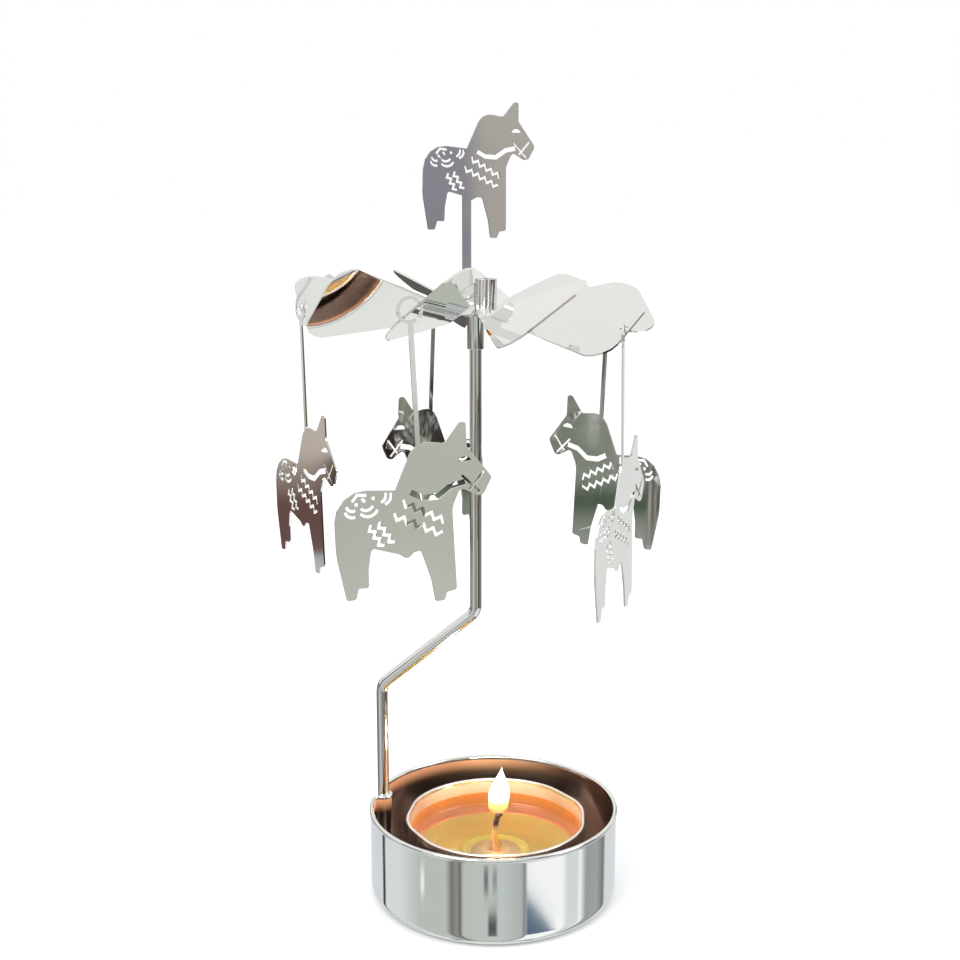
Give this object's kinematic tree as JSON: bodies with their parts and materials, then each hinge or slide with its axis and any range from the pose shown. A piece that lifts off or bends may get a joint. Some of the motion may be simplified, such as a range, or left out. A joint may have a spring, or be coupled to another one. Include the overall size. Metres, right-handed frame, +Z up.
{
  "type": "candle carousel",
  "caption": "Tealight dish with a cranked rod that carries a spinning stamped fan wheel, hung with pierced sheet-metal horses and topped by another.",
  "frame": {"origin": "centre of the dish's underside, on the surface it stands on", "axes": "+Z up, the pictured front faces -Y, +X to the right in the picture"},
  "size_m": [0.0815, 0.0803, 0.1632],
  "materials": {
    "chromed_steel": "bright chrome plate over pressed steel",
    "chromed_rod": "bright plated drawn rod",
    "polished_sheet": "mirror plate on stamped sheet",
    "turned_metal": "bright plate over turned metal",
    "stamped_sheet": "bright plate on stamped sheet",
    "candle_foil": "thin drawn foil, fluted",
    "melted_wax": "clear molten paraffin",
    "burnt_wick": "charred braided cotton",
    "sustainer_tin": "dull tin plate"
  },
  "bodies": {
    "stand": {"base_dish": "chromed_steel"},
    "post": {"post": "chromed_rod"},
    "rotor": {"fan_wheel": "polished_sheet", "bearing_sleeve": "turned_metal", "figure_socket": "turned_metal"},
    "top_figure": {"top_horse": "stamped_sheet"},
    "candle": {"tealight_cup": "candle_foil", "wax": "melted_wax", "wick": "burnt_wick", "wick_sustainer": "sustainer_tin"},
    "hung_horse_1": {"pendant_horse_1": "stamped_sheet"},
    "hung_horse_2": {"pendant_horse_2": "stamped_sheet"},
    "hung_horse_3": {"pendant_horse_3": "stamped_sheet"},
    "hung_horse_4": {"pendant_horse_4": "stamped_sheet"},
    "hung_horse_5": {"pendant_horse_5": "stamped_sheet"}
  },
  "joints": [
    {"name": "wheel_spin", "type": "hinge", "parent": "post", "child": "rotor", "pos_m": [-0.0037, 0, 0.122], "axis": [0, 0, 1], "continuous": true},
    {"name": "post_lift", "type": "slide", "parent": "stand", "child": "post", "axis": [0, 0, 1], "range_m": [0, 0.017]},
    {"name": "candle_lift", "type": "slide", "parent": "stand", "child": "candle", "axis": [0, 0, 1], "range_m": [0, 0.02]},
    {"name": "figure_lift", "type": "slide", "parent": "rotor", "child": "top_figure", "axis": [0, 0, 1], "range_m": [0, 0.008]},
    {"name": "horse_1_swing", "type": "hinge", "parent": "rotor", "child": "hung_horse_1", "pos_m": [-0.01508, -0.03313, 0.12628], "axis": [0.3322, -0.9432, 0], "range_deg": [-30, 30]},
    {"name": "horse_2_swing", "type": "hinge", "parent": "rotor", "child": "hung_horse_2", "pos_m": [0.02338, -0.02175, 0.12088], "axis": [0.9848, -0.1736, 0], "range_deg": [-30, 30]},
    {"name": "horse_3_swing", "type": "hinge", "parent": "rotor", "child": "hung_horse_3", "pos_m": [0.02431, 0.02054, 0.12279], "axis": [0.4226, 0.9063, 0], "range_deg": [-30, 30]},
    {"name": "horse_4_swing", "type": "hinge", "parent": "rotor", "child": "hung_horse_4", "pos_m": [-0.01295, 0.03357, 0.12228], "axis": [-0.7314, 0.682, 0], "range_deg": [-30, 30]},
    {"name": "horse_5_swing", "type": "hinge", "parent": "rotor", "child": "hung_horse_5", "pos_m": [-0.03846, 0.00154, 0.12354], "axis": [-0.8821, -0.471, 0], "range_deg": [-30, 30]}
  ]
}
